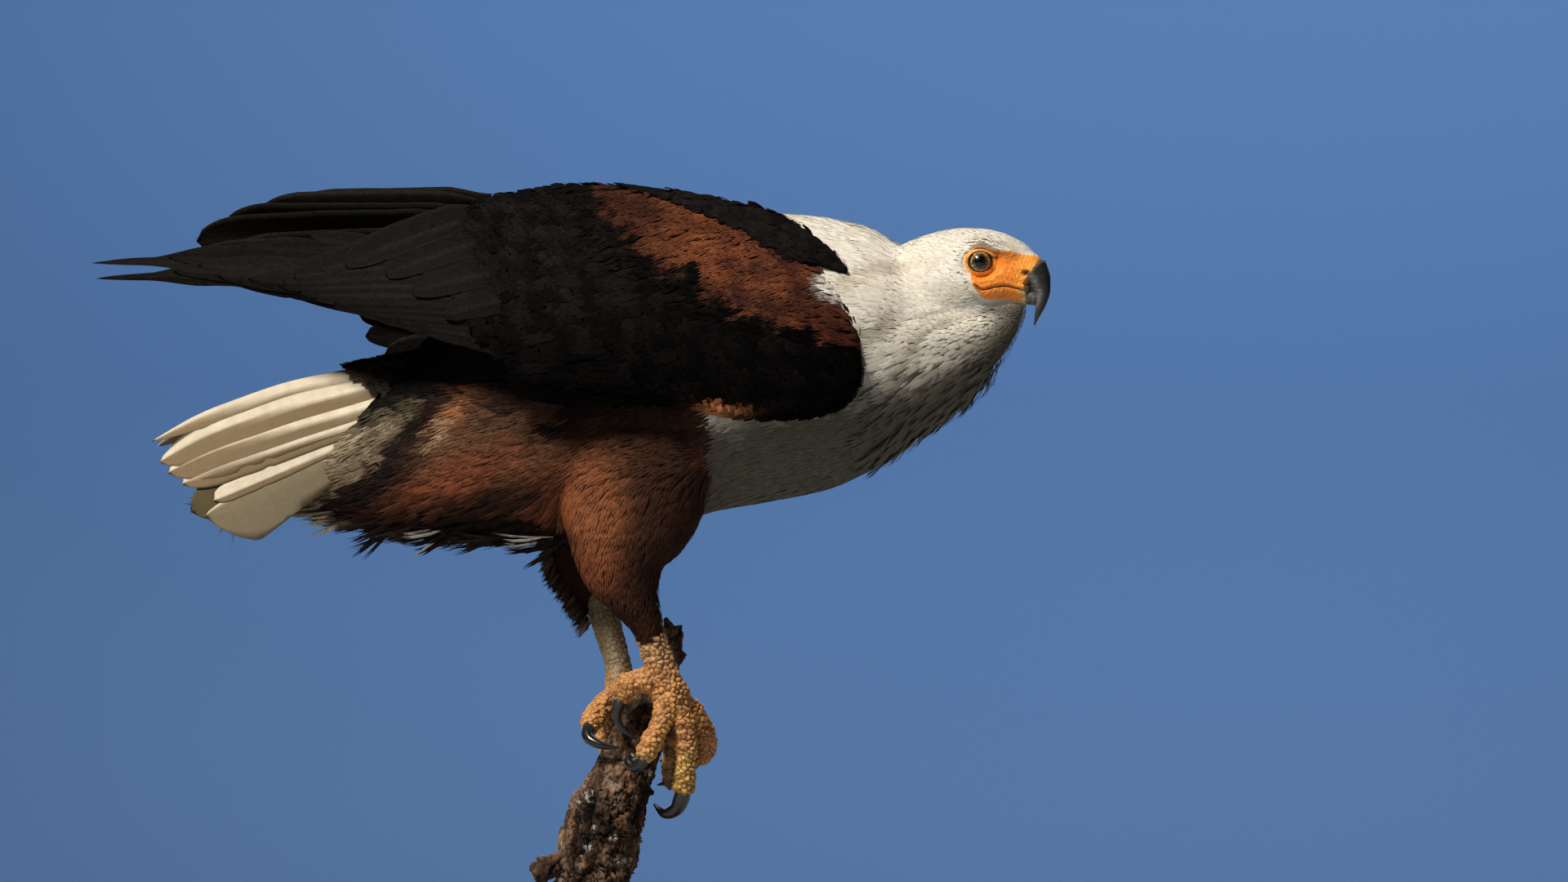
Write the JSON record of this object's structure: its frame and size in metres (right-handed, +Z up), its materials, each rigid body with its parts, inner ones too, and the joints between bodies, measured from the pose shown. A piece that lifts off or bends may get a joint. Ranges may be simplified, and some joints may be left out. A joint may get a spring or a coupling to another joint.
{
  "type": "african fish eagle",
  "caption": "Life-size African fish eagle, body level and wings half folded, gripping a cut length of dead branch held on a plain round display stand.",
  "frame": {"origin": "centre of the stand's round base, on its underside", "axes": "+X the way the bird faces, +Y its left side, +Z up"},
  "size_m": [0.7009, 0.26, 0.6115],
  "materials": {
    "white_plumage": "matte",
    "chestnut_plumage": "matte",
    "black_plumage": "satin",
    "bare_skin": "matte",
    "bill_horn": "satin",
    "claw_horn": "gloss",
    "eye_glass": "gloss",
    "dead_wood": "rough",
    "stand_wood": "satin",
    "stand_steel": "satin"
  },
  "bodies": {
    "root": {"bill_lower": "bill_horn", "bill_upper": "bill_horn", "claw_left_hind": "claw_horn", "claw_left_inner": "claw_horn", "claw_left_middle": "claw_horn", "claw_left_outer": "claw_horn", "claw_right_hind": "claw_horn", "claw_right_inner": "claw_horn", "claw_right_middle": "claw_horn", "claw_right_outer": "claw_horn", "eye_left": "eye_glass", "eye_right": "eye_glass", "foot_left": "bare_skin", "foot_right": "bare_skin", "head": "white_plumage", "neck": "white_plumage", "perch": "dead_wood", "scapulars_left": "black_plumage", "scapulars_right": "black_plumage", "shank_left": "bare_skin", "shank_right": "bare_skin", "stand_base": "stand_wood", "stand_rod_1": "stand_steel", "stand_rod_2": "stand_steel", "tail": "white_plumage", "thigh_left": "chestnut_plumage", "thigh_right": "chestnut_plumage", "trunk": "chestnut_plumage", "uppertail_coverts": "black_plumage", "wing_left_coverts": "black_plumage", "wing_left_primaries": "black_plumage", "wing_left_secondaries": "black_plumage", "wing_right_coverts": "black_plumage", "wing_right_primaries": "black_plumage", "wing_right_secondaries": "black_plumage"}
  },
  "joints": []
}
